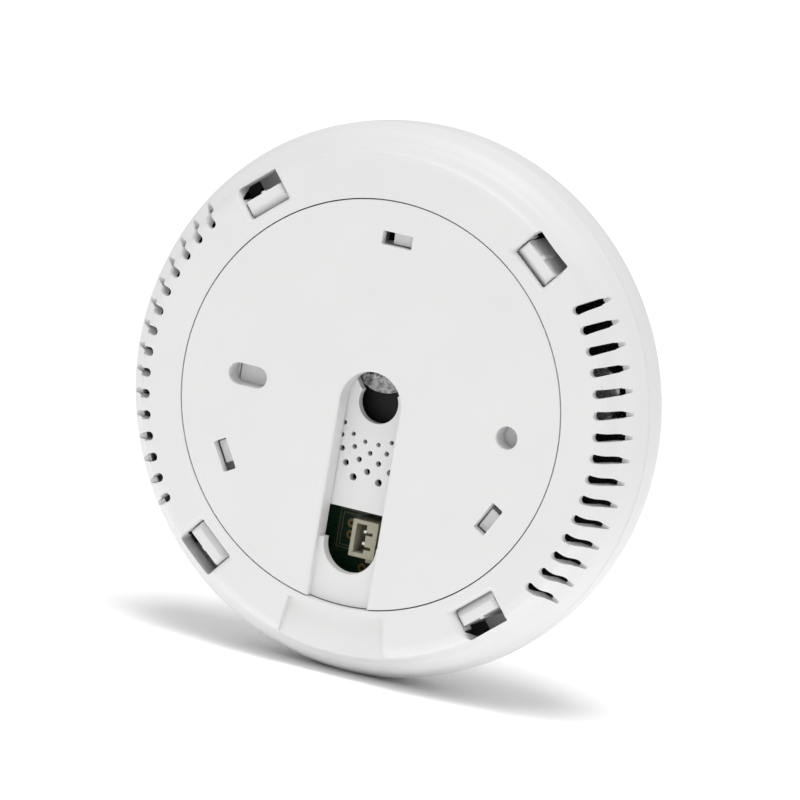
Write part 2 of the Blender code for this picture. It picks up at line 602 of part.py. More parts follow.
def chamber_emitter(name, profile, angle):
    """A small lamp or cell lying in the chamber's rim, its lens facing the middle."""
    bm = bmesh.new()
    ring = [bm.verts.new((radius * MM, 0.0, height * MM)) for radius, height in profile]
    for first, second in zip(ring, ring[1:]):
        bm.edges.new((first, second))
    bmesh.ops.spin(bm, geom=bm.verts[:] + bm.edges[:], cent=(0, 0, 0), axis=(0, 0, 1), angle=2 * math.pi,
                   steps=16, use_merge=True)
    bmesh.ops.remove_doubles(bm, verts=bm.verts, dist=0.00001)
    bmesh.ops.recalc_face_normals(bm, faces=bm.faces)
    inward = Matrix.Rotation(-math.pi / 2, 4, "Y")
    spin = Matrix.Rotation(-math.radians(angle), 4, "Y")
    axis = Matrix.Translation((CHAMBER_AXIS[0], 20.6 * MM, CHAMBER_AXIS[1]))
    bm.transform(axis @ spin @ Matrix.Translation((11.4 * MM, 0.0, 0.0)) @ inward)
    register(object_from(bm, name), name, CLEAR)


def make_battery():
    x, depth = BATTERY_AXIS
    half = BATTERY_HALF_LENGTH / MM
    edge = BATTERY_RADIUS / MM
    bm = bmesh.new()
    profile = [(0, half), (2.8, half), (2.8, half - 1.4), (edge - 0.8, half - 1.4), (edge, half - 2.0),
               (edge, -half + 0.4), (edge - 0.6, -half), (0, -half)]
    ring = [bm.verts.new((radius * MM, 0.0, height * MM)) for radius, height in profile]
    for first, second in zip(ring, ring[1:]):
        bm.edges.new((first, second))
    battery = register(object_from(bm, "battery"), "battery", SLEEVE)
    battery.location = (x, depth, 0.0)
    screw = battery.modifiers.new("Screw", "SCREW")
    screw.steps = 40
    screw.render_steps = 40
    screw.use_merge_vertices = True
    screw.merge_threshold = 0.00001
    holder = blocks("battery_holder", [((-34.3, 14.4, -21.0), (-13.7, 24.0, 21.0))])
    register(holder, "battery_holder", BLACK)
    cavity = blocks("holder_cavity", [((-32.8, 15.4, -19.6), (-15.2, 26.0, 19.6))])
    combine(holder, as_cutter(cavity, "holder_cavity"))
    finger = blocks("holder_notches", [((-40.0, 20.0, -7.0), (-10.0, 26.0, 7.0))])
    combine(holder, as_cutter(finger, "holder_notches"))
    for name, sign in (("battery_contact_plus", 1.0), ("battery_contact_minus", -1.0)):
        near, far = sorted((sign * 17.4, sign * 17.9))
        plate = blocks(name, [((-27.5, 15.8, near), (-20.5, 26.5, far))])
        register(plate, name, STEEL)


def make_capacitor():
    profile = [(0, 7.7), (4.9, 7.7), (5.2, 7.4), (6.5, 7.4), (7.0, 7.8), (7.0, 19.2), (6.6, 19.7), (7.0, 20.2),
               (7.0, 21.0), (6.6, 21.4), (0, 21.4)]
    register(turned("smoothing_capacitor", profile, 40, CAPACITOR_AXIS), "smoothing_capacitor", STEEL)
    x = CAPACITOR_AXIS[0]
    for number, z in enumerate((8.4 * MM, 11.8 * MM), 1):
        path = [(x, 21.8 * MM, z), (x, 22.6 * MM, z), (x - 0.8 * MM, 23.2 * MM, z),
                (36.8 * MM, 23.2 * MM, z), (36.0 * MM, 22.5 * MM, z), (36.0 * MM, 14.5 * MM, z)]
        wire(f"capacitor_lead_{number}", [path], 0.35 * MM, STEEL)


def make_board_parts():
    """The small parts on the room side of the board."""
    front = 14.4
    chip = blocks("microcontroller", [((6.0, front, -17.0), (13.0, front + 1.3, -10.0))])
    register(chip, "microcontroller", BLACK)
    drum = [(0, front), (4.2, front), (4.2, front + 1.2), (3.2, front + 1.2), (3.2, front + 6.2),
            (4.2, front + 6.2), (4.2, front + 7.4), (0, front + 7.4)]
    register(turned("step_up_inductor", drum, 24, (14.0 * MM, -26.0 * MM)), "step_up_inductor", BLACK)
    crystal = blocks("crystal", [((17.0, front, -14.0), (21.4, front + 3.2, -11.2))])
    register(crystal, "crystal", STEEL)
    bridge = blocks("bridge_rectifier", [((27.0, front, -8.0), (33.0, front + 2.6, -2.0))])
    register(bridge, "bridge_rectifier", BLACK)
    for index in range(6):
        x, z = -6.0 + 3.2 * (index % 3), -22.0 - 4.0 * (index // 3)
        resistor = blocks(f"resistor_{index + 1}", [((x, front, z), (x + 1.6, front + 0.5, z + 0.9))])
        register(resistor, f"resistor_{index + 1}", BLACK)
    for index in range(3):
        x = 17.5 + 3.4 * index
        bypass = blocks(f"bypass_capacitor_{index + 1}", [((x, front, -19.5), (x + 1.4, front + 1.1, -17.0))])
        register(bypass, f"bypass_capacitor_{index + 1}", CERAMIC)


make_mounting_plate()
make_rear_housing()
make_front_cover()
make_button()
make_light_guide()
make_board()
make_header()
make_sounder()
make_smoke_chamber()
make_vent_screens()
make_battery()
make_capacitor()
make_board_parts()
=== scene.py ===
"""A round smoke alarm standing on its edge, seen from the back, twisted onto its mounting plate."""

import math

import bmesh
import bpy
from mathutils import Matrix, Vector


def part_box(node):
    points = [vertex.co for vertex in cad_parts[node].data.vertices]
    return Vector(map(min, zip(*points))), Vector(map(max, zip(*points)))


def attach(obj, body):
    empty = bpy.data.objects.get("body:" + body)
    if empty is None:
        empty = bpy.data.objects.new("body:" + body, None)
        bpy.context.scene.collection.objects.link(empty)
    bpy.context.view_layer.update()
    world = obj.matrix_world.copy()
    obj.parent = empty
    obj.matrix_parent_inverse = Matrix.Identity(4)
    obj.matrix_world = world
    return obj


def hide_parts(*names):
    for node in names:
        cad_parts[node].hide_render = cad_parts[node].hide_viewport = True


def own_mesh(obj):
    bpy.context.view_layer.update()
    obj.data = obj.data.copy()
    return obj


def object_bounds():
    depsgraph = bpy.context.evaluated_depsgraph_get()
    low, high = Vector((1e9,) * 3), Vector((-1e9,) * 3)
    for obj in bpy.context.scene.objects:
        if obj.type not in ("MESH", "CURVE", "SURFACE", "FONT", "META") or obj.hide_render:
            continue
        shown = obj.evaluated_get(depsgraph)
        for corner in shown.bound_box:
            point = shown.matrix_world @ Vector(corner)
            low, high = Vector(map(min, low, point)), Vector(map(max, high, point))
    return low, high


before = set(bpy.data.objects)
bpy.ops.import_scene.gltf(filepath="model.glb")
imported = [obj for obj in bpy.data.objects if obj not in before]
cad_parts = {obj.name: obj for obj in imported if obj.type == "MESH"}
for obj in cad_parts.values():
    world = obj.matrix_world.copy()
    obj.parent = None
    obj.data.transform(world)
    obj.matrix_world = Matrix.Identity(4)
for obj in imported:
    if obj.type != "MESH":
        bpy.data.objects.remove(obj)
cad_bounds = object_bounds()

# ---------------------------------------------------------------------------------------------------------
# The camera: a long lens, level with the alarm's upper half and off to its right, rolled a few degrees.
# It looks past the axis a little, so that the alarm sits left of the middle of the picture.
MM = 0.001
camera_back = Vector((0.3724, -0.9121, 0.1715)).normalized()
camera_right = Vector((0.9017, 0.3990, 0.1640))
camera_right = (camera_right - camera_right.dot(camera_back) * camera_back).normalized()
camera_up = camera_back.cross(camera_right)
camera_place = 6.39 * MM * camera_right + 1.04 * MM * camera_up + 2540.0 * MM * camera_back
camera_data = bpy.data.cameras.new("camera")
camera_data.lens = 547.0
camera_data.sensor_width = 36.0
camera_data.clip_start = 0.05
camera = bpy.data.objects.new("camera", camera_data)
camera.matrix_world = Matrix((
    (camera_right.x, camera_up.x, camera_back.x, camera_place.x),
    (camera_right.y, camera_up.y, camera_back.y, camera_place.y),
    (camera_right.z, camera_up.z, camera_back.z, camera_place.z),
    (0.0, 0.0, 0.0, 1.0),
))
bpy.context.scene.collection.objects.link(camera)
bpy.context.scene.camera = camera
bpy.context.scene.view_settings.view_transform = "Standard"

# ---------------------------------------------------------------------------------------------------------
# The floor: one plain white sweep, just under the alarm's lowest edge.
# It is painted board, so it only has a trace of unevenness.


def new_material(name):
    """A material with an empty node tree but for the Principled shader, and that shader."""
    made = bpy.data.materials.new(name)
    made.use_nodes = True
    return made, made.node_tree, made.node_tree.nodes["Principled BSDF"]


def object_noise(tree, scale, detail=2.0):
    """A noise texture on the piece's own coordinates, with this many waves to the metre."""
    place = tree.nodes.new("ShaderNodeTexCoord")
    noise = tree.nodes.new("ShaderNodeTexNoise")
    noise.inputs["Scale"].default_value = scale
    noise.inputs["Detail"].default_value = detail
    tree.links.new(place.outputs["Object"], noise.inputs["Vector"])
    return noise.outputs["Fac"]


def blend_colours(tree, amount, low, high, start=0.3, end=0.7):
    """A colour between two, by an amount that runs from start to end."""
    ramp = tree.nodes.new("ShaderNodeValToRGB")
    ramp.color_ramp.elements[0].position = start
    ramp.color_ramp.elements[0].color = (*low, 1.0)
    ramp.color_ramp.elements[1].position = end
    ramp.color_ramp.elements[1].color = (*high, 1.0)
    tree.links.new(amount, ramp.inputs["Fac"])
    return ramp.outputs["Color"]


def blend_numbers(tree, amount, low, high):
    """A number between two, by an amount from 0.3 to 0.7."""
    spread = tree.nodes.new("ShaderNodeMapRange")
    spread.inputs["From Min"].default_value = 0.3
    spread.inputs["From Max"].default_value = 0.7
    spread.inputs["To Min"].default_value = low
    spread.inputs["To Max"].default_value = high
    tree.links.new(amount, spread.inputs["Value"])
    return spread.outputs["Result"]


def raise_surface(tree, shader, height, strength, distance):
    """Roughens the look of a surface by a height, in metres at full strength."""
    bump = tree.nodes.new("ShaderNodeBump")
    bump.inputs["Strength"].default_value = strength
    bump.inputs["Distance"].default_value = distance
    tree.links.new(height, bump.inputs["Height"])
    tree.links.new(bump.outputs["Normal"], shader.inputs["Normal"])


floor_paint, tree, shader = new_material("floor_paint")
tree.links.new(blend_colours(tree, object_noise(tree, 3.0), (0.97, 0.97, 0.97), (0.98, 0.98, 0.98)),
               shader.inputs["Base Color"])
shader.inputs["Roughness"].default_value = 0.9
shader.inputs["Specular IOR Level"].default_value = 0.0

bm = bmesh.new()
bmesh.ops.create_grid(bm, x_segments=1, y_segments=1, size=12.0)
bmesh.ops.translate(bm, vec=(0.0, 0.0, cad_bounds[0][2]), verts=bm.verts)
floor_mesh = bpy.data.meshes.new("floor")
bm.to_mesh(floor_mesh)
bm.free()
floor = bpy.data.objects.new("floor", floor_mesh)
bpy.context.scene.collection.objects.link(floor)
floor.data.materials.append(floor_paint)

# ---------------------------------------------------------------------------------------------------------
# The light: a white room all round, one large soft box overhead, a little in front of the alarm's back, and
# a broad light beside it that only falls on the floor and keeps its white clean.
world = bpy.data.worlds.new("white_room")
bpy.context.scene.world = world
world.use_nodes = True
world.node_tree.nodes["Background"].inputs["Color"].default_value = (1.0, 1.0, 1.0, 1.0)
world.node_tree.nodes["Background"].inputs["Strength"].default_value = 0.60


def soft_box(name, place, size, power):
    """A square area light that faces the alarm."""
    lamp = bpy.data.lights.new(name, "AREA")
    lamp.shape = "SQUARE"
    lamp.size = size
    lamp.energy = power
    holder = bpy.data.objects.new(name, lamp)
    holder.location = place
    holder.rotation_euler = Vector(place).to_track_quat("Z", "Y").to_euler()
    bpy.context.scene.collection.objects.link(holder)


soft_box("top_box", (0.08, -0.22, 1.25), 0.7, 7.4)
overhead = bpy.data.lights.new("overhead", "SUN")
overhead.energy = 1.2
overhead.angle = math.radians(35.0)
overhead_holder = bpy.data.objects.new("overhead", overhead)
overhead_holder.rotation_euler = Vector((0.12, -0.35, 1.0)).to_track_quat("Z", "Y").to_euler()
bpy.context.scene.collection.objects.link(overhead_holder)
floor_only = bpy.data.collections.new("floor_only")
floor_only.objects.link(floor)
overhead_holder.light_linking.receiver_collection = floor_only

# ---------------------------------------------------------------------------------------------------------
# The mounting plate: a shallow dish of white ABS, screwed flat to the wall, with a wire channel from its
# axis down to its rim, a round and an oblong screw hole, and three slots for the bayonet lugs.
white_plastic, tree, shader = new_material("white_plastic")
grain = object_noise(tree, 4200.0, 3.0)
tree.links.new(blend_colours(tree, object_noise(tree, 60.0), (0.775, 0.775, 0.772), (0.790, 0.790, 0.786)),
               shader.inputs["Base Color"])
tree.links.new(blend_numbers(tree, grain, 0.42, 0.52), shader.inputs["Roughness"])
raise_surface(tree, shader, grain, 0.06, 0.00003)
shader.inputs["IOR"].default_value = 1.5
shader.inputs["Subsurface Weight"].default_value = 0.0


def turned(profile, steps, axis=(0.0, 0.0)):
    """Spins an outline of (radius, depth) in millimetres about an axis along the depth at (x, z)."""
    bm = bmesh.new()
    ring = [bm.verts.new((radius * MM, depth * MM, 0.0)) for radius, depth in profile]
    for first, second in zip(ring, ring[1:]):
        bm.edges.new((first, second))
    if profile[0][0] > 0.0:
        bm.edges.new((ring[-1], ring[0]))
    bmesh.ops.spin(bm, geom=bm.verts[:] + bm.edges[:], cent=(0.0, 0.0, 0.0), axis=(0.0, 1.0, 0.0),
                   angle=2 * math.pi, steps=steps, use_merge=True)
    bmesh.ops.remove_doubles(bm, verts=bm.verts, dist=0.000001)
    bmesh.ops.recalc_face_normals(bm, faces=bm.faces)
    bmesh.ops.translate(bm, vec=(axis[0] * MM, 0.0, axis[1] * MM), verts=bm.verts)
    return bm


def soften_ring(bm, radius, depth, width, segments=4):
    """Rounds the turned edge at one radius and depth."""
    found = [edge for edge in bm.edges
             if all(abs(math.hypot(v.co.x, v.co.z) - radius * MM) < 0.00002
                    and abs(v.co.y - depth * MM) < 0.00001 for v in edge.verts)]
    bmesh.ops.bevel(bm, geom=found, offset=width * MM, offset_type="OFFSET", segments=segments, profile=0.5,
                    affect="EDGES", material=-1, clamp_overlap=False)


def add_block(bm, low, high, radius=0.0, corners="all", segments=8, turn=0.0, lip=(0.0, 0.0, 0.0), face=0.0):
    """Adds a block between two (x, depth, z) corners in millimetres, and turns it about the alarm's axis.

    The edges along its depth are rounded at all corners, or only at the top or the bottom two. A block that
    cuts a hole may have a lip, which rounds the hole's edge where it meets a face at some depth: the lip's
    width along x, its width along z, and how deep it goes.
    """
    block = bmesh.new()
    middle = Vector([(a + b) / 2 * MM for a, b in zip(low, high)])
    size = Vector([(b - a) * MM for a, b in zip(low, high)])
    bmesh.ops.create_cube(block, size=1.0)
    bmesh.ops.scale(block, vec=size, verts=block.verts)
    bmesh.ops.translate(block, vec=middle, verts=block.verts)
    if radius:
        upright = []
        for edge in block.edges:
            first, second = edge.verts
            is_top = first.co.z > middle.z
            if abs(first.co.y - second.co.y) > 1e-7 and (corners == "all" or (corners == "top") == is_top):
                upright.append(edge)
        bmesh.ops.bevel(block, geom=upright, offset=radius * MM, offset_type="OFFSET", segments=segments,
                        profile=0.5, affect="EDGES", material=-1, clamp_overlap=False)
        bmesh.ops.remove_doubles(block, verts=block.verts, dist=0.000001)
    if lip[2]:
        for step in range(6):
            level = (face + lip[2] * (1.0 - math.sin(math.radians(15.0 * step)))) * MM
            bmesh.ops.bisect_plane(block, geom=block.verts[:] + block.edges[:] + block.faces[:],
                                   plane_co=(0.0, level, 0.0), plane_no=(0.0, 1.0, 0.0), dist=1e-8)
        for vert in block.verts:
            reach = max(0.034, (vert.co.y / MM - face) / lip[2])
            if reach < 1.0:
                out = 1.0 - math.sqrt(1.0 - (1.0 - reach) ** 2)
                vert.co.x += (vert.co.x - middle.x) / size.x * 2 * lip[0] * MM * out
                vert.co.z += (vert.co.z - middle.z) / size.z * 2 * lip[1] * MM * out
    bmesh.ops.recalc_face_normals(block, faces=block.faces)
    bmesh.ops.rotate(block, cent=(0.0, 0.0, 0.0), matrix=Matrix.Rotation(-math.radians(turn), 3, "Y"),
                     verts=block.verts)
    add_shape(bm, block)


def add_shape(bm, shape):
    """Adds one bmesh to another, and frees it."""
    carrier = bpy.data.meshes.new("carrier")
    shape.to_mesh(carrier)
    shape.free()
    bm.from_mesh(carrier)
    bpy.data.meshes.remove(carrier)


def push_outline(bm, face, offset):
    """Pushes a flat outline out into a solid, by an offset in millimetres."""
    pushed = bmesh.ops.extrude_face_region(bm, geom=[face])
    moved = [item for item in pushed["geom"] if isinstance(item, bmesh.types.BMVert)]
    bmesh.ops.translate(bm, vec=[distance * MM for distance in offset], verts=moved)


def add_rod(bm, x, z, radius, start, end, sides=32):
    """Adds a round rod along the depth at (x, z), in millimetres."""
    middle = Matrix.Translation((x * MM, (start + end) / 2 * MM, z * MM))
    place = middle @ Matrix.Rotation(math.pi / 2, 4, "X")
    bmesh.ops.create_cone(bm, cap_ends=True, segments=sides, radius1=radius * MM, radius2=radius * MM,
                          depth=(end - start) * MM, matrix=place)


def object_of(bm, name):
    """Makes a mesh object of a bmesh, and frees it."""
    mesh = bpy.data.meshes.new(name)
    bm.to_mesh(mesh)
    bm.free()
    made = bpy.data.objects.new(name, mesh)
    bpy.context.scene.collection.objects.link(made)
    return made


def bake_modifiers(piece):
    """Makes a piece's modifiers part of its mesh."""
    bpy.context.view_layer.update()
    graph = bpy.context.evaluated_depsgraph_get()
    mesh = bpy.data.meshes.new_from_object(piece.evaluated_get(graph))
    piece.modifiers.clear()
    piece.data = mesh


def shape_with(piece, tool_bm, operation):
    """Cuts a tool out of a piece, or welds it on."""
    tool = object_of(tool_bm, "tool")
    modifier = piece.modifiers.new("shape", "BOOLEAN")
    modifier.operation = operation
    modifier.solver = "MANIFOLD"
    modifier.object = tool
    bake_modifiers(piece)
    bpy.data.objects.remove(tool, do_unlink=True)


def finish_moulding(piece):
    """Cleans a moulding's mesh, and shades it smooth with its flat faces kept flat."""
    bm = bmesh.new()
    bm.from_mesh(piece.data)
    bmesh.ops.remove_doubles(bm, verts=bm.verts, dist=0.000003)
    bmesh.ops.dissolve_degenerate(bm, edges=bm.edges, dist=0.000003)
    bm.to_mesh(piece.data)
    bm.free()
    for polygon in piece.data.polygons:
        polygon.use_smooth = True
    piece.data.set_sharp_from_angle(angle=math.radians(40.0))
    weighted = piece.modifiers.new("normals", "WEIGHTED_NORMAL")
    weighted.keep_sharp = True
    bake_modifiers(piece)


def dress(piece, finish, slot, body, *nodes):
    """Gives a piece its material, the body it rides and the CAD nodes it stands for. The slot argument is not
    used.
    """
    piece.data.materials.clear()
    piece.data.materials.append(finish)
    for polygon in piece.data.polygons:
        polygon.material_index = 0
    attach(piece, body)
    if nodes:
        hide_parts(*nodes)


BAYONET_ANGLES = (90.0, 210.0, 330.0)

bm = turned([(0, 0), (43.15, 0), (43.15, 4.5), (41.4, 4.5), (41.4, 2.0), (0, 2.0)], 192)
soften_ring(bm, 43.15, 0.0, 0.15, 3)
plate = object_of(bm, "plate")
bm = bmesh.new()
add_block(bm, (-8.4, 1.0, -42.0), (8.4, 4.5, 8.4), 8.39, "top", 24)
add_block(bm, (-34.6, 1.0, -4.1), (-22.2, 4.49, 4.1), 4.09, "all", 12)
add_rod(bm, 31.6, 0.0, 4.2, 1.0, 4.48, 48)
for angle in BAYONET_ANGLES:
    add_block(bm, (-4.2, 1.0, 32.6), (4.2, 4.47, 33.7), turn=angle - 90.0)
shape_with(plate, bm, "UNION")
bm = bmesh.new()
for angle in BAYONET_ANGLES:
    add_block(bm, (-1.5, 3.6, 33.1), (0.3, 4.46, 36.2), turn=angle - 90.0)
shape_with(plate, bm, "UNION")

bm = bmesh.new()
add_block(bm, (-6.9, -1.0, -30.0), (6.9, 6.0, 6.9), 6.89, "top", 28, lip=(0.6, 0.6, 0.6))
shape_with(plate, bm, "DIFFERENCE")
bm = bmesh.new()
add_block(bm, (-6.89, -1.1, -56.0), (6.89, 2.0, -27.0), lip=(0.6, 0.0, 0.6))
shape_with(plate, bm, "DIFFERENCE")
bm = bmesh.new()
add_block(bm, (-6.0, 1.2, -36.5), (6.0, 5.9, -28.0), 5.99, "bottom", 24, lip=(0.4, 0.4, 0.4), face=2.0)
shape_with(plate, bm, "DIFFERENCE")
bm = bmesh.new()
add_block(bm, (-32.8, -1.0, -2.3), (-24.0, 6.0, 2.3), 2.29, "all", 14, lip=(0.25, 0.25, 0.25))
add_block(bm, (29.2, -1.0, -2.4), (34.0, 6.0, 2.4), 2.39, "all", 16, lip=(0.3, 0.3, 0.3))
for angle in BAYONET_ANGLES:
    add_block(bm, (-3.4, -1.0, 33.85), (3.4, 2.9, 36.75), 0.3, "all", 4, angle - 90.0, lip=(0.18, 0.18, 0.18))
shape_with(plate, bm, "DIFFERENCE")
finish_moulding(plate)
dress(plate, white_plastic, "white_plastic", "plate", "mounting_plate")

# ---------------------------------------------------------------------------------------------------------
# The rear housing: a white moulding that turns on the plate. A flat ring lies round the plate, and falls
# away in a shoulder with two fans of vents. The recess behind the plate has the sound holes and the lugs.
VENT_ANGLES = [side + (index - 7) * 5.0 for side in (0.0, 180.0) for index in range(15)]
SNAP_ANGLES = (50.0, 130.0, 230.0, 310.0)
SOUND_RINGS = ((8.87, 0.50, 0.0), (10.9, 0.55, 10.0), (12.9, 0.62, 0.0), (14.9, 0.70, 10.0),
               (16.9, 0.80, 0.0))
BOARD_SCREW_ANGLES = (95.0, 190.0, 320.0)

bm = turned([(0, 4.8), (43.4, 4.8), (43.4, 0), (51.8, 0), (53.3, 1.2), (54.6, 4.9), (56.6, 6.5), (57.5, 7.9),
             (58.1, 9.9), (58.6, 11.0), (56.8, 11.0), (55.4, 8.4), (53.2, 6.4), (51.6, 1.8), (45.2, 1.8),
             (45.2, 6.6), (0, 6.6)], 288)
soften_ring(bm, 43.4, 0.0, 0.15, 3)
soften_ring(bm, 51.8, 0.0, 1.2, 6)
soften_ring(bm, 53.3, 1.2, 0.9, 5)
soften_ring(bm, 54.6, 4.9, 0.9, 5)
bmesh.ops.rotate(bm, cent=(0.0, 0.0, 0.0), matrix=Matrix.Rotation(math.radians(0.625), 3, "Y"),
                 verts=bm.verts)
housing = object_of(bm, "housing")

bm = bmesh.new()
for angle in BOARD_SCREW_ANGLES:
    x, z = 38.0 * math.cos(math.radians(angle)), 38.0 * math.sin(math.radians(angle))
    add_rod(bm, x, z, 2.8, 5.3, 12.2, 28)
for angle in BAYONET_ANGLES:
    add_block(bm, (0.6, 2.7, 34.2), (3.1, 5.6, 36.4), turn=angle - 90.0)
shape_with(housing, bm, "UNION")
bm = bmesh.new()
for angle in BAYONET_ANGLES:
    add_block(bm, (-1.6, 2.3, 34.1), (3.2, 3.3, 36.5), turn=angle - 90.0)
for angle in SNAP_ANGLES:
    add_block(bm, (-6.3, 1.2, 45.0), (-4.75, 5.4, 50.9), turn=angle - 90.0)
    add_block(bm, (4.75, 1.2, 45.0), (6.3, 5.4, 50.9), turn=angle - 90.0)
shape_with(housing, bm, "UNION")

bm = bmesh.new()
for angle in VENT_ANGLES:
    slot = bmesh.new()
    add_block(slot, (-0.95, -1.0, 50.6), (0.95, 9.6, 55.2), 0.94, "bottom", 8, lip=(0.25, 0.25, 0.3))
    for vert in slot.verts:
        if vert.co.z > 54.0 * MM:
            vert.co.x *= 0.8
    bmesh.ops.rotate(slot, cent=(0.0, 0.0, 0.0), matrix=Matrix.Rotation(math.radians(90.0 - angle), 3, "Y"),
                     verts=slot.verts)
    add_shape(bm, slot)
shape_with(housing, bm, "DIFFERENCE")
bm = bmesh.new()
for angle in VENT_ANGLES:
    pocket = bmesh.new()
    add_block(pocket, (-0.73, -0.9, 54.9), (0.73, 7.0, 57.4))
    for vert in pocket.verts:
        if vert.co.z > 57.0 * MM:
            vert.co.x *= 0.3
    bmesh.ops.rotate(pocket, cent=(0.0, 0.0, 0.0), matrix=Matrix.Rotation(math.radians(90.0 - angle), 3, "Y"),
                     verts=pocket.verts)
    add_shape(bm, pocket)
shape_with(housing, bm, "DIFFERENCE")

bm = bmesh.new()
for angle in SNAP_ANGLES:
    add_block(bm, (-4.9, -1.0, 46.3), (4.9, 9.0, 53.4), 0.5, "all", 4, angle - 90.0, lip=(1.5, 0.9, 1.5))
shape_with(housing, bm, "DIFFERENCE")
bm = bmesh.new()
add_block(bm, (-4.6, 4.3, 34.0), (-0.2, 7.8, 36.6))
add_block(bm, (-32.25, 4.2, -6.0), (-31.95, 5.8, 6.0))
add_block(bm, (-12.0, 3.8, -40.0), (12.0, 7.8, -23.3), 0.4, "all", 4)
shape_with(housing, bm, "DIFFERENCE")

bm = bmesh.new()
add_rod(bm, 0.0, 0.0, 4.5, 3.0, 8.0, 64)
shape_with(housing, bm, "DIFFERENCE")
bm = bmesh.new()
opening = [(-4.0, 2.0), (-4.6, 2.45), (-6.2, 4.8), (-8.0, 9.0), (8.0, 9.0), (6.4, 4.8), (4.0, 2.0)]
face = bm.faces.new([bm.verts.new((x * MM, 3.1 * MM, z * MM)) for x, z in opening])
push_outline(bm, face, (0.0, 4.8, 0.0))
bmesh.ops.recalc_face_normals(bm, faces=bm.faces)
for radius, hole, shift in SOUND_RINGS:
    for index in range(18):
        angle = math.radians(shift + 20.0 * index)
        if radius * math.sin(angle) < -2.0:
            add_rod(bm, radius * math.cos(angle), radius * math.sin(angle), hole, 4.0, 8.0, 20)
shape_with(housing, bm, "DIFFERENCE")

# The wiring recess at the foot: a shallow tray between two ribs, with an arched top and open at the edge.
bm = bmesh.new()
centre = bm.verts.new((0.0, 0.0, -44.9 * MM))
spun = bmesh.ops.spin(bm, geom=[centre], cent=(0.0, 0.0, 0.0), axis=(0.0, 1.0, 0.0), angle=math.radians(14.2),
                      steps=12, use_merge=False)
bmesh.ops.mirror(bm, geom=bm.verts[:] + bm.edges[:], axis="X", merge_dist=0.000001)
bmesh.ops.remove_doubles(bm, verts=bm.verts, dist=0.000001)
arch = sorted(bm.verts, key=lambda v: v.co.x)
corner_left = bm.verts.new((-13.6 * MM, 0.0, -60.0 * MM))
corner_right = bm.verts.new((13.6 * MM, 0.0, -60.0 * MM))
face = bm.faces.new([corner_left] + arch + [corner_right])
bmesh.ops.translate(bm, vec=(0.0, -1.0 * MM, 0.0), verts=bm.verts)
push_outline(bm, face, (0.0, 2.5, 0.0))
bmesh.ops.recalc_face_normals(bm, faces=bm.faces)
shape_with(housing, bm, "DIFFERENCE")
finish_moulding(housing)
dress(housing, white_plastic, "white_plastic", "alarm", "rear_housing")

# ---------------------------------------------------------------------------------------------------------
# The front cover: a white dome that closes on the rear housing. Four hooked tongues rise from its wall
# through the housing's snap windows, each stiffened by a rib down its outer face.
bm = turned([(56.9, 11.3), (58.4, 11.3), (58.7, 11.6), (58.7, 15.5), (58.2, 19.0), (57.0, 22.2), (54.8, 26.0),
             (51.5, 29.6), (46.0, 32.8), (36.0, 35.3), (24.0, 36.6), (15.4, 36.9), (15.4, 35.2), (24.0, 34.8),
             (35.5, 33.5), (45.0, 31.1), (50.2, 28.1), (53.1, 24.9), (55.2, 21.6), (56.3, 18.6),
             (56.8, 15.3)], 288)
for radius, depth in ((58.7, 15.5), (58.2, 19.0), (57.0, 22.2), (54.8, 26.0), (51.5, 29.6), (46.0, 32.8),
                      (36.0, 35.3), (24.0, 36.6)):
    soften_ring(bm, radius, depth, 1.2, 3)
soften_ring(bm, 15.4, 36.9, 0.4, 3)
cover = object_of(bm, "cover")
bm = bmesh.new()
for angle in SNAP_ANGLES:
    tongue = bmesh.new()
    hook = [(48.0, 1.0), (50.1, 1.0), (50.1, 13.4), (48.0, 13.4), (48.0, 4.3), (45.8, 4.3), (45.8, 3.3)]
    face = tongue.faces.new([tongue.verts.new((x * MM, y * MM, -4.6 * MM)) for x, y in hook])
    push_outline(tongue, face, (0.0, 0.0, 9.2))
    ends = [edge for edge in tongue.edges if abs(edge.verts[0].co.z - edge.verts[1].co.z) < 1e-7
            and all(v.co.y < 1.1 * MM for v in edge.verts)]
    bmesh.ops.bevel(tongue, geom=ends, offset=0.9 * MM, offset_type="OFFSET", segments=5, profile=0.5,
                    affect="EDGES", material=-1, clamp_overlap=False)
    tips = [edge for edge in tongue.edges if abs(edge.verts[0].co.z - edge.verts[1].co.z) > 1.0 * MM
            and all(v.co.y < 1.1 * MM for v in edge.verts)]
    bmesh.ops.bevel(tongue, geom=tips, offset=0.6 * MM, offset_type="OFFSET", segments=4, profile=0.5,
                    affect="EDGES", material=-1, clamp_overlap=False)
    bmesh.ops.recalc_face_normals(tongue, faces=tongue.faces)
    bmesh.ops.rotate(tongue, cent=(0.0, 0.0, 0.0), matrix=Matrix.Rotation(-math.radians(angle), 3, "Y"),
                     verts=tongue.verts)
    add_shape(bm, tongue)
shape_with(cover, bm, "UNION")
bm = bmesh.new()
for angle in SNAP_ANGLES:
    add_block(bm, (-4.0, 11.8, 49.0), (4.0, 13.0, 57.6), turn=angle - 90.0)
shape_with(cover, bm, "UNION")
bm = bmesh.new()
for angle in SNAP_ANGLES:
    add_block(bm, (-0.45, 1.5, 49.0), (0.45, 12.6, 50.5), turn=angle - 90.0)
shape_with(cover, bm, "UNION")
bm = bmesh.new()
add_rod(bm, 0.0, 22.0, 1.7, 30.0, 40.0, 28)
shape_with(cover, bm, "DIFFERENCE")
finish_moulding(cover)
dress(cover, white_plastic, "white_plastic", "alarm", "front_cover")

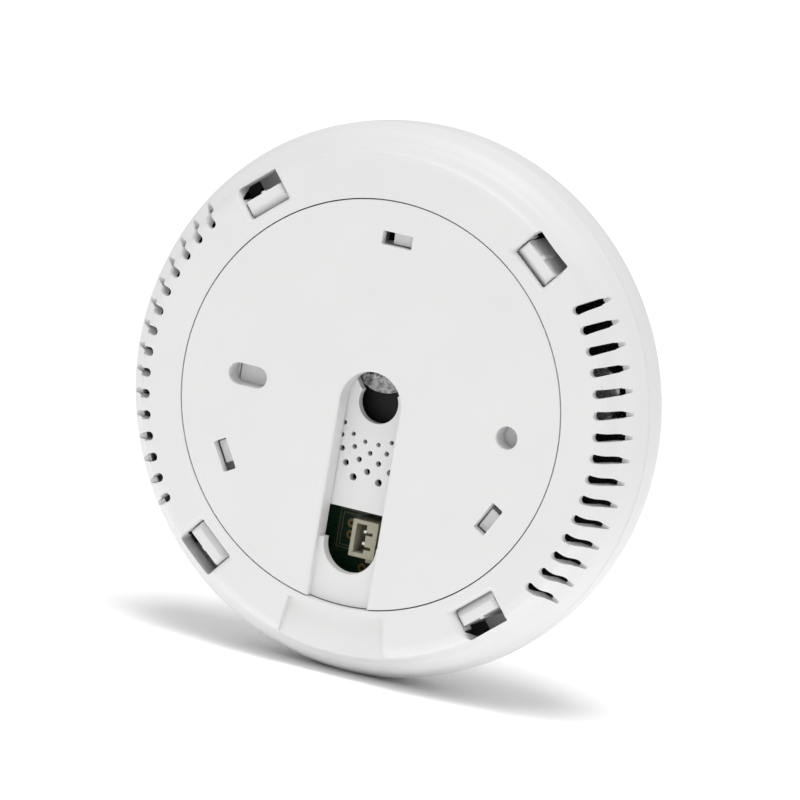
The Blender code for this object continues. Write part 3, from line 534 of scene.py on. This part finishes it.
# ---------------------------------------------------------------------------------------------------------
# The test button: a white cap in the middle of the dome, with a flange that holds it in, and a stem that
# reaches down to the switch on the board.
bm = turned([(0, 18.7), (1.6, 18.7), (1.6, 36.0), (13.4, 35.6), (13.4, 33.2), (16.6, 33.2), (16.6, 34.4),
             (15.0, 34.4), (15.0, 37.0), (14.6, 37.5), (13.8, 37.8), (9.0, 38.3), (0, 38.5)], 144)
soften_ring(bm, 9.0, 38.3, 1.5, 4)
button = object_of(bm, "button")
finish_moulding(button)
dress(button, white_plastic, "white_plastic", "button", "test_button")

# ---------------------------------------------------------------------------------------------------------
# The black mouldings: the sounder's housing, the smoke chamber, the battery holder, the switch and the
# small packages on the board. They stay as the solids have them, in matt black.
black_plastic, tree, shader = new_material("black_plastic")
grain = object_noise(tree, 2500.0)
tree.links.new(blend_colours(tree, grain, (0.004, 0.004, 0.004), (0.007, 0.007, 0.007)),
               shader.inputs["Base Color"])
tree.links.new(blend_numbers(tree, grain, 0.45, 0.60), shader.inputs["Roughness"])
raise_surface(tree, shader, grain, 0.1, 0.00003)
shader.inputs["Specular IOR Level"].default_value = 0.3


def repaint(finish, *names):
    """Gives CAD nodes that stay as they are a better material."""
    for name in names:
        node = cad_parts[name]
        node.data.materials.clear()
        node.data.materials.append(finish)


repaint(black_plastic, "tact_switch_body", "tact_switch_plunger", "sounder_housing", "chamber_base",
        "chamber_cap", "battery_holder", "microcontroller", "step_up_inductor", "bridge_rectifier")

# ---------------------------------------------------------------------------------------------------------
# The resistors: small black chips on the board.
chip_coat, tree, shader = new_material("chip_coat")
tree.links.new(blend_colours(tree, object_noise(tree, 5000.0), (0.016, 0.016, 0.018), (0.03, 0.03, 0.033)),
               shader.inputs["Base Color"])
shader.inputs["Roughness"].default_value = 0.35
repaint(chip_coat, *[f"resistor_{number}" for number in range(1, 7)])

# ---------------------------------------------------------------------------------------------------------
# The insect screens: fine black mesh round the smoke chamber and behind each fan of vents.
black_mesh, tree, shader = new_material("black_mesh")
place = tree.nodes.new("ShaderNodeTexCoord")
cells = tree.nodes.new("ShaderNodeTexVoronoi")
cells.feature = "DISTANCE_TO_EDGE"
cells.inputs["Scale"].default_value = 1100.0
cells.inputs["Randomness"].default_value = 0.35
tree.links.new(place.outputs["Object"], cells.inputs["Vector"])
tree.links.new(blend_colours(tree, cells.outputs["Distance"], (0.045, 0.045, 0.042), (0.004, 0.004, 0.004),
                             0.03, 0.10), shader.inputs["Base Color"])
shader.inputs["Roughness"].default_value = 0.5
repaint(black_mesh, "insect_screen", "vent_screen_1", "vent_screen_2")

# ---------------------------------------------------------------------------------------------------------
# The main board: green fibreglass with the copper under its mask just showing.
board_mask, tree, shader = new_material("board_mask")
place = tree.nodes.new("ShaderNodeTexCoord")
turn = tree.nodes.new("ShaderNodeMapping")
turn.inputs["Rotation"].default_value = (math.pi / 2, 0.0, 0.0)
tracks = tree.nodes.new("ShaderNodeTexBrick")
tracks.inputs["Scale"].default_value = 220.0
tracks.inputs["Mortar Size"].default_value = 0.04
tracks.inputs["Color1"].default_value = (0.006, 0.030, 0.012, 1.0)
tracks.inputs["Color2"].default_value = (0.008, 0.036, 0.015, 1.0)
tracks.inputs["Mortar"].default_value = (0.012, 0.050, 0.020, 1.0)
tree.links.new(place.outputs["Object"], turn.inputs["Vector"])
tree.links.new(turn.outputs["Vector"], tracks.inputs["Vector"])
tree.links.new(tracks.outputs["Color"], shader.inputs["Base Color"])
shader.inputs["Roughness"].default_value = 0.35
repaint(board_mask, "main_board")

# ---------------------------------------------------------------------------------------------------------
# The print and the pads on the board's wall side, round the wire header: two thin printed frames, and
# tinned copper rings round the holes.
board_print, tree, shader = new_material("board_print")
tree.links.new(blend_colours(tree, object_noise(tree, 3000.0), (0.16, 0.15, 0.09), (0.24, 0.22, 0.14)),
               shader.inputs["Base Color"])
shader.inputs["Roughness"].default_value = 0.7
bm = bmesh.new()
for left, top, bottom, right in ((-7.45, -25.0, -33.4, 6.0), (-6.75, -25.7, -32.8, 5.3)):
    add_block(bm, (left, 12.46, bottom), (left + 0.18, 12.49, top))
    add_block(bm, (right - 0.18, 12.46, bottom), (right, 12.49, top))
    add_block(bm, (left + 0.18, 12.46, top - 0.18), (right - 0.18, 12.49, top))
    add_block(bm, (left + 0.18, 12.46, bottom), (right - 0.18, 12.49, bottom + 0.18))
frame_print = object_of(bm, "header_print")
dress(frame_print, board_print, "circuit_board", "alarm")

pad_copper, tree, shader = new_material("pad_copper")
tree.links.new(blend_colours(tree, object_noise(tree, 2500.0), (0.42, 0.26, 0.08), (0.55, 0.36, 0.13)),
               shader.inputs["Base Color"])
shader.inputs["Metallic"].default_value = 1.0
shader.inputs["Roughness"].default_value = 0.4


def add_ring(bm, x, z, outer, inner, start, end, steps=28):
    """Adds a flat ring round an axis along the depth."""
    add_shape(bm, turned([(inner, start), (outer, start), (outer, end), (inner, end)], steps, (x, z)))


bm = bmesh.new()
for x, z, outer, inner in ((-4.6, -27.8, 0.95, 0.45), (-4.5, -30.3, 0.95, 0.45), (-0.7, -36.7, 0.95, 0.45)):
    add_ring(bm, x, z, outer, inner, 12.45, 12.49)
pads = object_of(bm, "board_pads")
dress(pads, pad_copper, "brass", "alarm")

# ---------------------------------------------------------------------------------------------------------
# The wire header: a cream nylon shroud, open towards the wall, with two tin-plated pins.
cream_nylon, tree, shader = new_material("cream_nylon")
tree.links.new(blend_colours(tree, object_noise(tree, 400.0), (0.34, 0.32, 0.24), (0.39, 0.37, 0.29)),
               shader.inputs["Base Color"])
shader.inputs["Roughness"].default_value = 0.45
repaint(cream_nylon, "wire_header")

# ---------------------------------------------------------------------------------------------------------
# The plated steel: pins, screws, leads, contacts, the crystal's can and the button's spring.
bright_steel, tree, shader = new_material("bright_steel")
brushing = object_noise(tree, 900.0)
tree.links.new(blend_colours(tree, brushing, (0.60, 0.60, 0.61), (0.70, 0.70, 0.71)),
               shader.inputs["Base Color"])
tree.links.new(blend_numbers(tree, brushing, 0.2, 0.34), shader.inputs["Roughness"])
shader.inputs["Metallic"].default_value = 1.0
repaint(bright_steel, "header_pin_1", "header_pin_2", "board_screw_1", "board_screw_2", "board_screw_3",
        "sounder_contact_1", "sounder_contact_2", "sounder_contact_3", "battery_contact_plus",
        "battery_contact_minus", "capacitor_lead_1", "capacitor_lead_2", "crystal")

# ---------------------------------------------------------------------------------------------------------
# The button's spring: a coil of plated wire between the housing and the button's stem, made at one fixed
# length.
spring_low, spring_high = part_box("button_spring")
coil_length = spring_high[1] - spring_low[1]
coil_radius = (spring_high[0] - spring_low[0]) / 2 - 0.3 * MM
coil_steps = 216
bm = bmesh.new()
bmesh.ops.create_circle(bm, cap_ends=False, segments=10, radius=0.29 * MM,
                        matrix=Matrix.Translation((coil_radius, spring_low[1] + 0.3 * MM, 0.0)))
bmesh.ops.spin(bm, geom=bm.verts[:] + bm.edges[:], cent=(0.0, 0.0, 0.0), axis=(0.0, 1.0, 0.0),
               dvec=(0.0, (coil_length - 0.6 * MM) / coil_steps, 0.0), angle=12 * math.pi, steps=coil_steps,
               use_merge=False)
bmesh.ops.holes_fill(bm, edges=bm.edges[:], sides=0)
bmesh.ops.recalc_face_normals(bm, faces=bm.faces)
coil = object_of(bm, "coil")
for polygon in coil.data.polygons:
    polygon.use_smooth = len(polygon.vertices) == 4
dress(coil, bright_steel, "bright_steel", "alarm", "button_spring")
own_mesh(coil)

# ---------------------------------------------------------------------------------------------------------
# The smoothing capacitor: a drawn aluminium can, its closed end towards the wall.
can_metal, tree, shader = new_material("can_metal")
brushing = object_noise(tree, 700.0)
tree.links.new(blend_colours(tree, brushing, (0.55, 0.55, 0.55), (0.66, 0.66, 0.66)),
               shader.inputs["Base Color"])
tree.links.new(blend_numbers(tree, brushing, 0.22, 0.34), shader.inputs["Roughness"])
shader.inputs["Metallic"].default_value = 1.0
repaint(can_metal, "smoothing_capacitor")

# ---------------------------------------------------------------------------------------------------------
# The sounder's disc: brass, with a grey ceramic disc on its room side.
brass_sheet, tree, shader = new_material("brass_sheet")
tree.links.new(blend_colours(tree, object_noise(tree, 500.0), (0.68, 0.48, 0.20), (0.74, 0.54, 0.25)),
               shader.inputs["Base Color"])
shader.inputs["Metallic"].default_value = 1.0
shader.inputs["Roughness"].default_value = 0.3
repaint(brass_sheet, "piezo_disc")
fired_ceramic, tree, shader = new_material("fired_ceramic")
tree.links.new(blend_colours(tree, object_noise(tree, 3000.0), (0.50, 0.50, 0.47), (0.58, 0.58, 0.55)),
               shader.inputs["Base Color"])
shader.inputs["Roughness"].default_value = 0.6
repaint(fired_ceramic, "piezo_ceramic", "bypass_capacitor_1", "bypass_capacitor_2", "bypass_capacitor_3")

# ---------------------------------------------------------------------------------------------------------
# The shield foil: a crumpled disc of aluminium over the sounder.
foil_metal, tree, shader = new_material("foil_metal")
creases_and_painted_light = object_noise(tree, 900.0, 4.0)
# The foil's colour follows its creases from dark grey to mid grey: painted shade in the hollows of the
# crumples and painted glints on their ridges. The bump and the roughness give the creases themselves.
tree.links.new(blend_colours(tree, creases_and_painted_light, (0.11, 0.11, 0.11), (0.46, 0.46, 0.46)),
               shader.inputs["Base Color"])
tree.links.new(blend_numbers(tree, creases_and_painted_light, 0.18, 0.4), shader.inputs["Roughness"])
raise_surface(tree, shader, creases_and_painted_light, 0.9, 0.0006)
shader.inputs["Metallic"].default_value = 1.0
repaint(foil_metal, "shield_foil")

# ---------------------------------------------------------------------------------------------------------
# The back-up battery: a cylinder cell in a plain blue sleeve.
sleeve_film, tree, shader = new_material("sleeve_film")
tree.links.new(blend_colours(tree, object_noise(tree, 120.0), (0.07, 0.12, 0.30), (0.09, 0.15, 0.36)),
               shader.inputs["Base Color"])
shader.inputs["Roughness"].default_value = 0.3
repaint(sleeve_film, "battery")

# ---------------------------------------------------------------------------------------------------------
# The clear and the tinted parts: the light guide, the chamber's lamp and cell, and the status lamp.
clear_acrylic, tree, shader = new_material("clear_acrylic")
tree.links.new(blend_colours(tree, object_noise(tree, 300.0), (0.90, 0.92, 0.93), (0.95, 0.96, 0.97)),
               shader.inputs["Base Color"])
shader.inputs["Roughness"].default_value = 0.08
shader.inputs["Transmission Weight"].default_value = 0.9
shader.inputs["IOR"].default_value = 1.49
repaint(clear_acrylic, "light_guide", "infrared_led", "photodiode")
red_epoxy, tree, shader = new_material("red_epoxy")
tree.links.new(blend_colours(tree, object_noise(tree, 900.0), (0.50, 0.02, 0.02), (0.62, 0.04, 0.03)),
               shader.inputs["Base Color"])
shader.inputs["Roughness"].default_value = 0.2
repaint(red_epoxy, "status_led")
